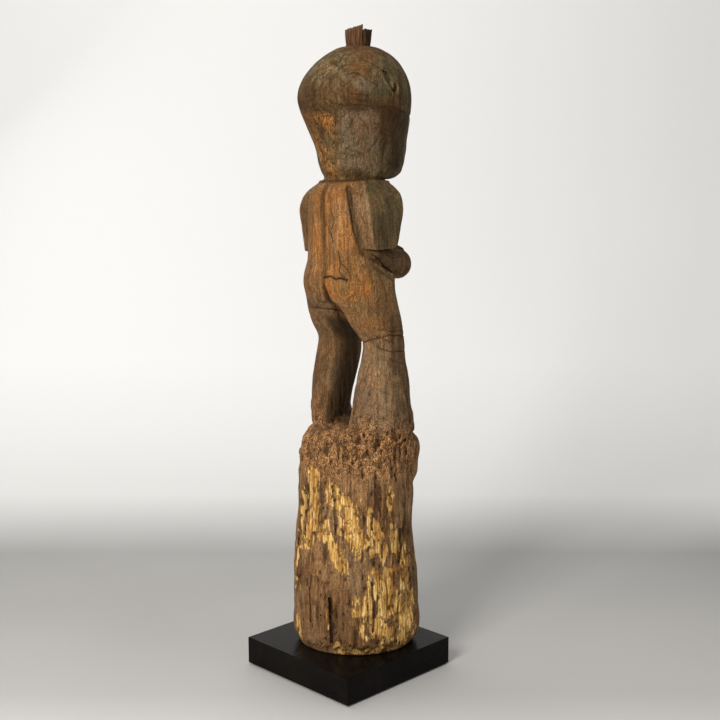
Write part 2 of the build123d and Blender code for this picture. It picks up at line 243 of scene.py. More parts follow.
class Field:
    """A distance field on a grid, negative inside."""

    def __init__(self, low, high, step):
        self.step = step
        self.low = np.array(low, dtype=float)
        self.axes = [np.arange(low[i], high[i] + step, step, dtype=F) for i in range(3)]
        self.d = np.full([len(a) for a in self.axes], FAR, dtype=F)

    def block(self, low, high):
        """The part of the grid in a box: its slices, and x, y and z along it."""
        cut = []
        for i in range(3):
            a, b = np.searchsorted(self.axes[i], [low[i], high[i]])
            cut.append(slice(max(int(a) - 1, 0), int(b) + 1))
        x, y, z = (self.axes[i][cut[i]] for i in range(3))
        return tuple(cut), x[:, None, None], y[None, :, None], z[None, None, :]

    def add(self, low, high, k, form):
        """Joins a form on inside a box, rounded over k mm."""
        cut, x, y, z = self.block(low, high)
        self.d[cut] = smin(self.d[cut], form(x, y, z).astype(F), F(k))

    def carve(self, low, high, k, form):
        """Cuts a form away inside a box, rounded over k mm."""
        cut, x, y, z = self.block(low, high)
        self.d[cut] = smax(self.d[cut], -form(x, y, z).astype(F), F(k))

    def skin(self, depth, push):
        """Moves the surface out by push(points), worked out only close to it."""
        near = np.nonzero(np.abs(self.d) < depth)
        p = np.stack([self.axes[i][near[i]] for i in range(3)], axis=1)
        chunk = 400000  # points at a time, to spare memory
        for start in range(0, len(p), chunk):
            part = slice(start, start + chunk)
            where = tuple(n[part] for n in near)
            self.d[where] -= push(p[part])

    def mesh(self, name, offset):
        grid = vdb.FloatGrid(float(self.d.max()))
        grid.copyFromArray(self.d)
        points, _, quads = grid.convertToPolygons(isovalue=0.0, adaptivity=0.0)
        points = points * self.step + self.low
        used = largest_piece(len(points), quads)
        quads = quads[used[quads[:, 0]]]
        keep, quads = np.unique(quads, return_inverse=True)
        points = points[keep]
        quads = quads.reshape(-1, 4)
        me = bpy.data.meshes.new(name)
        me.vertices.add(len(points))
        me.loops.add(quads.size)
        me.polygons.add(len(quads))
        me.vertices.foreach_set("co", ((points + offset) / 1000).astype(F).ravel())
        me.loops.foreach_set("vertex_index", quads[:, ::-1].astype(np.int32).ravel())
        me.polygons.foreach_set("loop_start", np.arange(0, quads.size, 4, dtype=np.int32))
        me.polygons.foreach_set("use_smooth", np.ones(len(quads), dtype=bool))
        me.update(calc_edges=True)
        obj = bpy.data.objects.new(name, me)
        bpy.context.collection.objects.link(obj)
        return obj, points.astype(F)


def largest_piece(count, quads):
    """Which vertices belong to the biggest connected shell."""
    label = np.arange(count)
    while True:
        low = label[quads].min(axis=1)
        new = label.copy()
        for c in range(4):
            np.minimum.at(new, quads[:, c], low)
        new = new[new]
        if (new == label).all():
            break
        label = new
    names, sizes = np.unique(label[quads[:, 0]], return_counts=True)
    return label == names[sizes.argmax()]


def attribute(obj, name, values):
    a = obj.data.attributes.new(name, "FLOAT", "POINT")
    a.data.foreach_set("value", np.ascontiguousarray(values, dtype=F))


# ---------------------------------------------------------------- forms
# A form is a function of x, y and z that gives the distance to a surface, negative inside.
def rod(*sizes):
    """A form like a capsule."""
    return lambda x, y, z: capsule(x, y, z, *sizes)


def egg(*sizes, turn=0.0):
    """A form like an ellipsoid."""
    return lambda x, y, z: ellipsoid(x, y, z, *sizes, turn)


def both(form):
    """A form given on the figure's left, and its mirror image."""
    return lambda x, y, z: form(np.abs(x), y, z)


def on(side, form):
    """A form given on the figure's left, put there (side 1) or on the right (side -1)."""
    return lambda x, y, z: form(x * side, y, z)


def half(side, form):
    """What lies of a form on one side of the middle."""
    return lambda x, y, z: np.maximum(form(x, y, z), side * -x)


def runs(line, *radii):
    """A rod for each run of a line."""
    return [rod(start, end, *radii) for start, end in zip(line, line[1:])]


# ---------------------------------------------------------------- the timber's form
ARM_LEAN = 0.22  # how much the arms' back faces turn outwards
ARM_FOOT = {-1: 596, 1: 588}  # the figure's left arm runs lower
FOREARM = rod((56, 20, 590.5), (46, -36, 574.5), 8.0, 18.0)
ARM_LINE = [(30, 43, 690), (38.5, 46, 660), (44, 41.5, 622), (52.5, 35, 590)]
ARM_GROOVE = [both(cut) for cut in runs(ARM_LINE, 2.9, 2.7)]
SPINE = runs([(0, 47, 692), (0, 58.5, 660), (0, 59, 600), (0, 59, 560)], 3.9, 3.7)
FOOT_OUT, FOOT_BACK = 49, -47
FOOT_COS, FOOT_SIN = 0.866, 0.5  # the feet turn out by 30 degrees
EYE, EYE_SIZE, EYE_TURN = (20.5, -65.0, 751), (13.5, 9.0, 7.8), 14


def trunk(x, y, z):
    """Along and across the trunk's wide way."""
    return -(x + y) / ROOT2, (y - x) / ROOT2


def post_form(x, y, z):
    u, v = trunk(x, y, z)
    shift, a, b = rows(z, POST)
    return np.maximum(ellipse(u - shift, v, a, b), ends(z, PLINTH_TOP, 350))


def leg_form(side):
    def form(x, y, z):
        out, back, a, b = rows(z, LEG)
        if side > 0:  # the figure's left shin is a little stouter on the inside
            more = 2.2 * band(z, 352, 462, 16)
            out, back, b = out - 0.6 * more, back - 0.6 * more, b + more
        px, py = x - side * out, y - back
        along, across = (px * side - py) / ROOT2, (px * side + py) / ROOT2
        d = ellipse(along, across, a, b)
        # Flat faces take a little off the round
        span = np.sqrt((a * a + b * b) / 2) * F(0.90)
        d = smax(d, np.maximum(np.abs(px), np.abs(py)) - span, 5)
        return np.maximum(d, ends(z, 302, 570))

    return form


def torso_form(x, y, z):
    back, hx, hy, r = rows(z, TORSO)
    return smax(round_rect(x, y - back, hx, hy, r), ends(z, 526, 686), 4)


def arm_form(side):
    def form(x, y, z):
        out, back, hx, hy = rows(z, ARM)
        lean = ARM_LEAN * (x * side - out)
        d = round_rect(x - side * out, y - back + lean, hx, hy, F(2.2))
        return smax(d, ends(z, ARM_FOOT[side], 685), 3)

    return form


def head_form(x, y, z):
    back, a, b = rows(z, HEAD)
    d = smax(ellipse(x, y - back, a, b), ends(z, 686, 861), 3)
    # Below the cap the head is hewn flat behind its right ear
    flat = -0.60 * x + 0.80 * y - (53.5 + 0.17 * (z - 735)) - 30 * ramp(z, 768, 800)
    return smax(d, flat, 5)


def ridge_height(y):
    """The cap's edge runs round the head, lower at the brow."""
    return 781 + 0.16 * y


def parting(x, y, z):
    """Height above the line cut round the neck, which tilts a little."""
    return z - 685 + 0.0424 * (x + y)


def eye_slit(x, y, z):
    """Distance from the line where the lids meet."""
    lid = ellipsoid(np.abs(x), y, z, EYE, EYE_SIZE, turn=EYE_TURN)
    return np.sqrt(lid**2 + (z - 750.3 - 0.012 * (np.abs(x) - EYE[0]) ** 2) ** 2)


def mouth_slit(x, y, z):
    return capsule(np.abs(x), y, z, (0, -76.0, 714.8), (17, -69, 715.2), 0.0)


def carve_head(f):
    f.add((-90, -100, 670), (90, 90, 710), 1.5, lambda x, y, z: np.maximum(
        ellipse(x, y + 1, 40.0, 42.0), ends(z, 674, 704)))
    f.add((-90, -100, 680), (90, 90, 866), 1.0, head_form)
    # The parting line between head and shoulders
    f.carve((-90, -100, 670), (90, 90, 696), 0.8, lambda x, y, z: np.sqrt(
        ellipse(x, y + 1, 40.8, 42.8) ** 2 + parting(x, y, z) ** 2) - 1.7)
    # The face is hollowed out under the cap's edge, which makes the brow, and has full cheeks
    box = ((-60, -125, 690), (60, -35, 790))
    hollow = egg((0, -100, 734), (50, 33.5, 47))
    f.carve(*box, 2.5, lambda x, y, z: np.maximum(hollow(x, y, z), z - 770 - 0.004 * x * x))
    f.add(*box, 5, both(egg((22, -59, 728), (14, 10, 17))))
    # Nose: one long wedge with a rounded tip, wings and nostrils
    box = ((-30, -125, 715), (30, -50, 780))
    f.add(*box, 2.5, rod((0, -71, 768), (0, -76, 738), 4.6, 7.2))
    f.add(*box, 2, both(egg((7.5, -70.5, 735), (6.0, 7, 5.2))))
    f.carve(*box, 1.0, both(egg((4.8, -76, 730), (2.2, 4.4, 2.8))))
    # Almond eyes, closed, with a line where the lids meet
    box = ((-45, -125, 735), (45, -50, 770))
    f.add(*box, 1.5, both(egg(EYE, EYE_SIZE, turn=EYE_TURN)))
    f.carve(*box, 0.8, lambda x, y, z: eye_slit(x, y, z) - 1.9)
    # Lips and chin
    box = ((-30, -125, 700), (30, -50, 735))
    f.add(*box, 1.5, both(rod((0, -71.5, 718.9), (15, -66.5, 717.4), 4.6, 2.6)))
    f.add(*box, 1.5, both(rod((0, -71, 710.6), (12.5, -67, 712.4), 4.8, 2.6)))
    f.carve(*box, 0.8, lambda x, y, z: mouth_slit(x, y, z) - 1.6)
    f.add((-36, -125, 686), (36, -50, 720), 6, egg((0, -62, 701), (24, 13.5, 9)))

    # The step under the cap's edge, shallower on the figure's left
    def step(x, y, z):
        rise = (z - ridge_height(y) + 1.6) * 0.8
        return np.sqrt((head_form(x, y, z) - 0.7) ** 2 + rise**2) - 1.9 + 1.4 * ramp(x, 5, 40)

    for side in (-1, 1):
        f.carve((-90, -110, 740), (90, 90, 810), 1.2, half(side, step))
    carve_ears(f)


def ear_frame(x, y, z):
    """Out from the head, back and up from an ear's middle. The ear leans forward at its foot."""
    up = z - 811
    return head_form(x, y, z), (y - 1) - 0.42 * up, up


def ear_rim(x, y, z):
    out, back, up = ear_frame(x, y, z)
    ring = np.abs(ellipse(back, up, 9.6, 16.5)) - 2.1
    ring = np.maximum(ring, -(back - 0.5 * up + 10.5))  # open at the top, towards the face
    return smax(ring, np.abs(out) - 3.0, 1.5)


def ear_hollow(x, y, z):
    out, back, up = ear_frame(x, y, z)
    return np.maximum(ellipse(back, up, 6.8, 13.5), np.abs(out) - 2.6)


def ear_notch(n):
    """The nth of the upright cuts across the rim's top."""
    def form(x, y, z):
        out, back, up = ear_frame(x, y, z)
        beyond = np.maximum(np.abs(up - 12.5) - 4.0, 0)
        bar = np.sqrt((back + 5.0 - 4.2 * n) ** 2 + beyond**2) - 1.1
        return np.maximum(bar, np.abs(out) - 4.0)

    return form


def carve_ears(f):
    box = ((-90, -36, 785), (90, 36, 836))
    for side in (-1, 1):
        f.add(*box, 1.2, lambda x, y, z: smax(ear_rim(x, y, z), side * -x, 1))
        f.carve(*box, 1.2, half(side, ear_hollow))
        for n in range(3):
            f.carve(*box, 0.8, half(side, ear_notch(n)))
        # A small boss in the hollow
        f.add(*box, 1.5, half(side, egg((side * 68.5, -1, 806), (3.8, 3.4, 6.5))))


def carve_body(f):
    for side in (-1, 1):
        f.add((-100, -90, 296), (100, 80, 590), 6, leg_form(side))
    f.add((-100, -90, 515), (100, 90, 700), 9, torso_form)
    # Buttocks, belly and chest, the dip down the chest, and the navel
    f.add((-70, -10, 500), (70, 80, 600), 9, both(egg((28, 25, 546), (27.5, 30, 36))))
    f.add((-70, -80, 530), (70, 20, 640), 12, egg((0, -15, 586), (42, 36, 44)))
    f.add((-70, -80, 620), (70, 20, 690), 7, both(egg((20, -33, 651), (21, 18, 18))))
    f.carve((-50, -80, 600), (50, -20, 690), 4, rod((0, -58, 676), (0, -56, 632), 3.0))
    f.carve((-20, -80, 585), (20, -30, 620), 1.5, egg((0, -52, 603), (3.6, 5, 3.6)))
    # The cleft runs on from the spine and opens out forwards between the thighs
    f.carve((-40, -80, 440), (40, 90, 580), 2.5, lambda x, y, z: most(
        np.abs(x) - 0.8 - np.clip(554 - z, 0, 80) * 0.17, z - 558, 2 + (z - 487) * 0.86 - y))
    f.carve((-40, -90, 440), (40, 90, 530), 4, lambda x, y, z: np.maximum(
        np.abs(x) - (508 - z) * 0.26, z - 508))
    # Upper arms: slabs with hard edges, cut off from the back and the chest by grooves
    for side in (-1, 1):
        f.add((-100, -60, 575), (100, 70, 700), 2, arm_form(side))
    for cut in ARM_GROOVE:
        f.carve((-70, 10, 575), (70, 80, 700), 1.5, cut)
    f.carve((-70, -60, 600), (70, 0, 690), 2, both(rod((36, -33, 676), (46.5, -27, 604), 2.8, 2.6)))
    for side in (-1, 1):
        # Forearms run forward and down to the belly, with a hard lower edge
        forearm = on(side, FOREARM)
        box = ((-100, -80, 535), (100, 60, 625))
        below = rod((66, 24, 578), (60, -36, 549), 6.5, 7.5)
        f.carve((-100, -60, 530), (100, 50, 600), 3, on(side, below))
        f.carve(*box, 1, lambda x, y, z: np.maximum(
            forearm(x, y, z) - 2.0, 54 + 0.05 * y - x * side))
        f.add(*box, 1.2, lambda x, y, z: smax(
            forearm(x, y, z), np.abs(x * side - 55 - 0.12 * y) - 13.0, 4))
        # The hand, four fingers and a thumb
        hand = egg((41, -42, 573), (18, 19, 20.5), turn=35)
        f.add((-100, -90, 535), (100, 10, 610), 4, on(side, hand))
        for n in range(4):
            drop = 8.3 * n
            tip = (8 + 1.2 * n, -55.5, 582.5 - drop * 0.97)
            finger = rod((36, -54, 586 - drop), tip, 5.0, 3.9)
            f.add((-100, -90, 530), (100, 10, 610), 1.2, on(side, finger))
        thumb = rod((43, -46, 591), (22, -52, 597), 5.2, 4.2)
        f.add((-100, -90, 535), (100, 10, 615), 1.2, on(side, thumb))
    # Spine, and a shallower furrow on each side of it
    for cut in SPINE:
        f.carve((-20, 20, 520), (20, 90, 700), 1.5, cut)
    box = ((-30, 20, 560), (30, 90, 700))
    f.carve(*box, 3, rod((10.5, 63.0, 690), (12.5, 62.5, 575), 4.6, 4.4))
    f.carve(*box, 6, rod((-15, 67.0, 690), (-19, 65, 600), 8.4, 7.6))


def foot_frame(x, y):
    """Across and along the figure's left foot, from its middle."""
    px, py = x - FOOT_OUT, y - FOOT_BACK
    return FOOT_COS * px + FOOT_SIN * py, -FOOT_SIN * px + FOOT_COS * py


def foot(x, y, z):
    across, along = foot_frame(x, y)
    return smax(round_rect(across, along, F(20.5), F(18), F(12)), ends(z, 275, 338), 16)


def toe(n):
    """The nth toe, counted from the big one, hanging down over the post's edge."""
    at, front = -16.5 + 8.3 * n, -15.5 + 0.55 * n * n
    top, tip = (at, front + 2, 319 - n), (at, front, 282 + 2 * n)

    def form(x, y, z):
        across, along = foot_frame(x, y)
        return capsule(across, along, z, top, tip, 4.6, 4.5 if n else 5.3)

    return form


def carve_base(f):
    f.add((-100, -100, 30), (100, 100, 356), 1, post_form)
    # Between the feet the wood is left a little higher
    f.add((-50, -50, 300), (50, 60, 395), 10, egg((0, 2, 330), (30, 36, 33)))
    for side in (-1, 1):
        # Instep, and a foot that turns out and hangs over the post's edge
        instep = rod((50, -20, 352), (53, -46, 318), 21, 19)
        f.add((-100, -100, 270), (100, 0, 390), 9, on(side, instep))
        f.add((-100, -100, 258), (100, 0, 350), 10, on(side, foot))
        for n in range(5):
            f.add((-100, -100, 258), (100, 0, 345), 1.0, on(side, toe(n)))


def lines_on_back(p, lines):
    """Fine carved or cracked lines on the side that the viewer sees, as depths in mm."""
    u, v = trunk(p[:, 0], p[:, 1], p[:, 2])
    wob = 1.3 * noise(p, (14, 14, 14), 5.0)
    total = np.zeros(len(p), dtype=F)
    for width, depth, run in lines:
        best = np.full(len(p), 1e6, dtype=F)
        for (u0, z0), (u1, z1) in zip(run, run[1:]):
            bu, bz = u1 - u0, z1 - z0
            pu, pz = u + wob - u0, p[:, 2] + wob - z0
            h = np.clip((pu * bu + pz * bz) / (bu * bu + bz * bz), 0, 1)
            best = np.minimum(best, (pu - bu * h) ** 2 + (pz - bz * h) ** 2)
        total = np.maximum(total, depth * np.exp(-best / (width * width)))
    return total * ramp(v, -8, 6)


LINES = [  # width, depth, run of (across, height)
    (0.9, 1.3, [(-63, 512), (-46, 513.5), (-28, 513), (-13, 509)]),
    (0.8, 0.9, [(-52, 459), (-36, 463), (-22, 467)]),
    (0.9, 1.1, [(11, 468), (26, 477), (47, 482), (70, 477)]),
    (0.8, 0.8, [(24, 484), (38, 477), (52, 471)]),
    (0.8, 0.9, [(30, 466), (48, 459), (70, 457)]),
    (0.7, 0.7, [(47, 450), (58, 444), (69, 440)]),
    (0.8, 0.7, [(33, 492), (50, 486), (66, 486)]),
    (1.2, 1.8, [(-39, 558), (-31, 560), (-24, 557), (-17, 559), (-9, 557)]),
    (0.8, 1.0, [(-21, 594), (-17, 578), (-19, 568), (-13, 561), (-9, 554)]),
    (0.7, 0.8, [(-17, 578), (-8, 570), (-4, 559)]),
    (0.7, 0.8, [(-31, 650), (-26, 636), (-29, 622)]),
    (0.8, 1.0, [(-36, 628), (-30, 616), (-27, 606)]),
    (0.7, 0.7, [(-9, 676), (-4, 664), (-6, 652)]),
    (1.1, 1.5, [(24, 590), (33, 582), (40, 572), (50, 563)]),
    (0.8, 1.0, [(42, 590), (52, 582), (60, 585)]),
    (0.7, 0.6, [(-7, 803), (-7, 786)]),
    (0.8, 0.7, [(-12, 818), (3, 821), (16, 815), (30, 804), (20, 792), (-6, 794)]),
    (0.7, 0.5, [(-34, 812), (-20, 816), (-10, 806), (-18, 794), (-32, 798)]),
    (0.7, 0.8, [(-38, 790), (-25, 782), (-10, 780), (12, 781), (28, 776)]),
    (0.8, 0.7, [(-55, 778), (-45, 784), (-38, 776), (-28, 770), (-33, 764)]),
    (0.7, 0.7, [(33, 829), (22, 833), (9, 842)]),
    (0.7, 0.7, [(-50, 797), (-40, 806), (-44, 818), (-30, 826)]),
    (0.7, 0.6, [(-30, 838), (-18, 829), (-2, 832), (6, 845)]),
    (0.6, 0.6, [(-20, 832), (-12, 846)]),
    (0.7, 0.6, [(40, 820), (47, 807), (54, 795)]),
    (1.7, 5.0, [(-33, 124), (-32, 98), (-31, 60)]),
    (1.1, 2.5, [(26, 78), (27, 120), (24, 148)]),
    (1.1, 2.0, [(62, 168), (64, 190), (62, 214)]),
    (0.9, 1.6, [(-60, 84), (-61, 120), (-59, 150)]),
]


# ---------------------------------------------------------------- wear
# Patches where insects and rot have taken the dark skin off: bearing round the trunk in
# degrees from the side that the viewer sees, height, half width, half height, and for some
# a lean in mm across per mm down.
BARE = [
    (-52, 281, 12, 36),
    (-47, 260, 7, 18, 0.1),
    (-29, 270, 5, 20),
    (-20, 266, 8, 17, 0.2),
    (-9, 253, 13, 19, 0.2),
    (-3, 227, 17, 24, 0.4),
    (6, 205, 16, 19, 0.3),
    (22, 218, 8, 34, 0.35),
    (28, 191, 6, 14, 0.2),
    (-66, 228, 7, 40, -0.1),
    (-76, 171, 7, 40),
    (-43, 230, 18, 18, 0.2),
    (-54, 206, 12, 18, -0.2),
    (-26, 205, 11, 20, 0.6),
    (-16, 182, 10, 20, 0.5),
    (38, 257, 5, 20),
    (50, 184, 10, 32, 0.35),
    (57, 154, 12, 34, 0.1),
    (38, 128, 30, 38),
    (28, 98, 29, 36),
    (54, 96, 20, 54),
    (20, 47, 34, 6),
    (-16, 49, 8, 11),
    (-27, 92, 2.5, 15),
    (-68, 68, 6, 20),
]
# What is left of the skin inside them.
SKIN_ISLANDS = [
    (37, 90, 9, 8),
    (46, 144, 6, 13),
    (20, 108, 4, 14),
    (8, 230, 5, 11),
    (-12, 245, 4, 9),
    (52, 118, 5, 12),
]


def round_trunk(p):
    """The bearing round the trunk, and the distance from its middle."""
    u, v = trunk(p[:, 0], p[:, 1], p[:, 2])
    return np.arctan2(u, v), np.hypot(u, v)


def patches(p, angle, radius, table):
    """1 in the middle of a patch, falling to 0 a little beyond its edge and on below."""
    best = np.full(len(p), -3.0, dtype=F)
    for bearing, height, half_wide, half_high, *lean in table:
        d = (angle - math.radians(bearing) + math.pi) % (2 * math.pi) - math.pi
        dz = p[:, 2] - height
        across = d * radius + (lean[0] if lean else 0) * dz
        best = np.maximum(best, 1 - np.sqrt((across / half_wide) ** 2 + (dz / half_high) ** 2) / 1.15)
    return best


def wear(p):
    """How far time has moved the surface at each point, and the masks that colour it."""
    x, y, z = p.T
    angle, radius = round_trunk(p)
    post = 1 - ramp(z, 338, 352)
    crumbled = ramp(z, 275, 312) * (1 - ramp(z, 345, 392))
    toes = ramp(FOOT_SIN * np.abs(x) - FOOT_COS * y, 68, 78)
    toes = toes * ramp(np.abs(x), 20, 28) * band(z, 272, 348, 6)
    crumbled = crumbled * (1 - 0.8 * toes)
    shin = ramp(z, 330, 350) * (1 - ramp(z, 400, 470))
    upper = ramp(z, 440, 500)
    head = ramp(parting(x, y, z), -1, 1.5)

    broad = noise(p, (46, 46, 70), 3.0)
    mid = noise(p, (17, 17, 26), 9.0)
    fibre = noise(p, (4.2, 4.2, 34), 1.0)
    fibre_b = noise_b(p, (8.5, 8.5, 75), 2.0)
    grit = noise_b(p, (4.6, 4.6, 8.5), 7.0)
    clod = noise(p, (10, 10, 12), 4.0)
    fine = noise_b(p, (2.6, 2.6, 9.0), 6.0)
    strip = noise_b(p, (6.5, 6.5, 21), 8.0)

    # Where the dark skin is lost: above 0 the wood is bare
    ragged = 0.45 * fibre + 0.35 * fibre_b + 0.75 * strip + 0.55 * clod + 0.5 * grit + 0.3 * fine
    loss = patches(p, angle, radius, BARE) + 0.62 * ragged
    # Round the back of the trunk, out of the viewer's sight, the loss follows the weather alone
    far = ramp(np.abs(angle), 1.3, 1.6)
    weather = 1.1 * noise(p, (30, 30, 60), 31.0) + 0.8 * noise_b(p, (14, 14, 42), 33.0)
    weather = weather - 0.42 + 0.4 * ramp(-z, -150, -40)
    loss = loss * (1 - far) + (weather + 0.55 * ragged) * far
    island = patches(p, angle, radius, SKIN_ISLANDS) + 0.3 * ragged
    loss = np.minimum(loss, 0.35 - island) - 2 * ramp(z, 298, 316)
    streak = fibre + 0.5 * grit - 0.3 * fibre_b + 0.4 * mid - 0.85
    streak = streak - 2 * (1 - post) - 1.5 * ramp(z, 245, 300)
    loss = np.clip(np.maximum(loss, 0.6 * streak), -1, 1)
    bare = ramp(loss, -0.02, 0.18)

    furrow = ramp(-fibre_b - 0.35 * fibre, 0.16, 0.62)
    pit = ramp(-grit - 0.55 * fibre, 0.42, 0.8)
    chips = ramp(-clod - 0.4 * mid, 0.3, 0.75)
    lines = lines_on_back(p, LINES)

    face = head * ramp(-y, 42, 56)
    out = (0.9 * broad + 0.35 * mid) * (1 - 0.7 * face)
    out += post * (1 - 0.6 * toes) * (
        1.5 * broad + 0.9 * mid + 0.75 * fibre - 1.7 * furrow - 1.9 * pit - 1.6 * chips)
    out -= bare * (1.4 + 0.9 * np.maximum(-fibre, 0) + 1.4 * furrow + 1.3 * ramp(-strip, 0.2, 0.6))
    out += crumbled * (1.8 * clod + 1.0 * strip + 0.8 * grit - 1.5 * pit + 0.8 * mid)
    out += shin * (
        0.5 * fibre - 0.9 * furrow * ramp(mid, -0.1, 0.5) - 0.8 * pit * (1 - toes) + 0.4 * clod)
    out += upper * (0.16 * fibre + 0.10 * fine)
    out -= lines * (1 + 0.3 * grit)
    # The neck is cut clean, and the underside of the post meets the plinth flat
    out *= 1 - 0.8 * ramp(z, 676, 682) * (1 - ramp(z, 690, 698))
    out *= ramp(z, PLINTH_TOP + 1, PLINTH_TOP + 9)
    deep = post * (0.75 * furrow + 0.9 * pit + 0.5 * chips) + crumbled * 0.8 * pit
    deep = deep + shin * (0.55 * furrow + 0.6 * pit)
    return out.astype(F), {
        "loss": loss,
        "deep": unit(deep),
        "line": unit(lines),
        "crumbled": crumbled,
        "head": head,
    }


def arm_zones(x, y, z):
    """The slabs of the upper arms: their outer faces, their back faces and the edge between, where a
    highlight is painted.
    """
    out, rear, hx, hy = rows(z, ARM)
    from_side = np.abs(x) - out - hx
    from_back = y - rear + ARM_LEAN * (np.abs(x) - out) - hy
    foot = np.where(x > 0, ARM_FOOT[1], ARM_FOOT[-1])
    slab = ramp(z, foot, foot + 4) * (1 - ramp(z, 684, 688))
    side_face = ramp(from_side, -3.0, -1.2) * ramp(-from_back, 0.8, 2.2)
    back_face = ramp(from_side, -33.5, -29.5) * ramp(from_back, -4, -1.5) * (1 - side_face) * slab
    back_face = back_face * ramp(from_back, -5, -1) * (1 - ramp(from_back, 2.5, 5))
    arris_highlight = np.exp(-((from_side + 2.4) / 1.5) ** 2) * ramp(from_back, -2.5, -0.5) * slab
    return side_face * slab, back_face, arris_highlight


def stain(p, masks):
    """More masks: where the wood is warm or pale, green-grey, or darker; the dark and green-grey masks are
    mostly painted shade, and the pale one holds a painted highlight.
    """
    x, y, z = p.T
    u, v = trunk(x, y, z)
    broad = noise(p, (30, 30, 44), 13.0)
    streaks = noise_b(p, (7, 7, 60), 15.0)
    blot = noise(p, (12, 12, 14), 17.0)
    arm_side, arm, arris_highlight = arm_zones(x, y, z)

    # Warm: the back, one hip, the head's side below the cap, and spots on the crown
    back = ramp(y, 20, 36) * band(z, 530, 686, 5) * (1 - arm) * (1 - arm_side)
    warm_back = back * unit(0.72 + 0.5 * streaks + 0.4 * broad) * (1 - 0.55 * ramp(z, 660, 684))
    warm_back *= 1 - 0.45 * ramp(x, 8, 40)
    hip = band(z, 490, 560, 14) * ramp(y, -20, 30) * (1 - ramp(x, -12, 14))
    hip = hip * unit(0.6 + 0.5 * broad + 0.3 * blot)
    low_head = ramp(parting(x, y, z), 2, 10) * (1 - ramp(z + 5 * blot, 762, 780))
    low_head *= (1 - ramp(u + 7 * blot + 5 * broad + 3 * streaks, -30, -14)) * ramp(y, -10, 12)
    warm_head = 0.85 * low_head * unit(0.62 + 0.9 * broad + 0.6 * streaks + 0.4 * blot)
    crown = band(z, 815, 845, 9) * unit(0.1 + 0.9 * blot + 0.5 * broad) * 0.26
    masks["warm"] = unit(0.92 * warm_back + 0.65 * hip + warm_head + crown)

    # Green-grey, partly the wood's own colour and partly painted shade: the cap's right side, the arms'
    # outer faces, and the right hip, which are turned from the light
    masks["green_and_shade"] = unit(most(
        ramp(-x - 0.25 * y, 38, 62) * ramp(z, 775, 800) * unit(0.7 + 0.7 * broad),
        arm_side * unit(0.9 + 0.5 * broad),
        0.5 * ramp(-x, 18, 48) * band(z, 500, 596, 12) * unit(0.7 + 0.9 * blot),
    ))

    # Pale: a worn patch on the cap, the middle of the head, the right shin, and a painted highlight along
    # the arms' edges
    worn = 1 - np.sqrt(((u - 10) / 25) ** 2 + ((z - 806 + 0.25 * (u - 10)) / 12) ** 2)
    worn = worn + 0.45 * blot + 0.2 * streaks
    middle = band(z, 700, 776, 6) * band(u, -16, 34, 3) * ramp(v, 0, 20)
    shin_bloom = band(z, 352, 474, 14) * ramp(-x, 8, 26) * unit(0.6 + 0.8 * blot)
    masks["pale"] = unit(most(
        0.75 * ramp(worn, 0.0, 0.6) * ramp(v, 0, 20),
        0.62 * middle * unit(0.7 + 0.8 * blot),
        0.55 * shin_bloom,
        0.9 * arris_highlight * unit(0.6 + 0.9 * blot),
    ))

    # Dark: mostly painted shade, in hollows, grooves, slits and creases, under the cap's edge and on sides
    # turned from the light, with darker wood on the arms' back faces
    under = ridge_height(y) - z
    face = ramp(-y, 38, 54) * ramp(z, 690, 700)
    below = ramp(under, 0, 5) * band(z, 690, 800, 4) * (1 - face)
    slits = np.minimum(eye_slit(x, y, z), mouth_slit(x, y, z))
    gap = 1 - np.sqrt((x / 27) ** 2 + ((y - 4) / 34) ** 2 + ((z - 362) / 46) ** 2)
    inner = ramp(-x, -37, -17) * ramp(x, 1, 8) * band(z, 352, 506, 14) * ramp(y, -34, -22)
    drop = np.clip(550 - z, 0, 60)
    cleft = 1 - ramp(np.abs(x), 2.0 + drop * 0.15, 5.0 + drop * 0.2)
    reach = both(FOREARM)(x, y, z)
    forearm = ramp(np.abs(x), 50, 55) * ramp(-reach, -4, 0) * (1 - arm_side)
    forearm_shadow_line = np.exp(-((reach - 0.5) / 2.2) ** 2) * ramp(np.abs(x), 48, 54) * (1 - ramp(z, 598, 604))
    shade = most(
        # Painted shade under the cap's edge
        0.9 * below * ramp(u, 30, 38) * (1 - 0.4 * ramp(under, 14, 70)),
        below * ramp(u, 8, 30) * (1 - ramp(under, 2, 22)),
        0.75 * below * (1 - ramp(u, -50, -40)) * (1 - ramp(under, 4, 30)),
        0.8 * np.exp(-((under - 2) / 2.4) ** 2) * ramp(u, -40, 20) * ramp(z, 700, 712),
        # Painted shade in the eyes' and mouth's slits, and in the line round the neck
        0.9 * face * (1 - ramp(slits, 0.8, 2.6)),
        np.exp(-(parting(x, y, z) / 1.5) ** 2),
        # Painted shade between the shins, on the left leg's inner side, in the cleft and on the forearms,
        # and a painted shadow under the forearms' lower edge
        1.2 * ramp(gap, 0, 0.4),
        1.35 * inner,
        0.9 * cleft * band(z, 470, 560, 5) * ramp(y, -10, 5),
        0.40 * forearm,
        0.9 * forearm_shadow_line,
        # Darker: painted shade on the left thigh and on the right leg's side turned from the light, and the
        # left buttock, a little of the right shin and the left of the back
        0.35 * ramp(x, 0, 20) * band(z, 400, 545, 14),
        0.55 * band(z, 500, 562, 10) * ramp(x, 2, 12),
        0.75 * ramp(u, 40, 56) * band(z, 345, 505, 18) * unit(0.9 + 0.6 * blot),
        0.18 * ramp(-x, 5, 15) * band(z, 380, 480, 14),
        0.30 * ramp(x, 5, 35) * back,
        # The left of the head, and the arms' back faces
        0.70 * ramp(-u, 26, 56) * band(z, 745, 850, 16) * unit(0.8 + 0.9 * blot),
        0.50 * arm * (1 - arris_highlight),
        0.6 * (arm * (1 - arris_highlight) * unit(0.45 + 1.2 * blot)),
    )
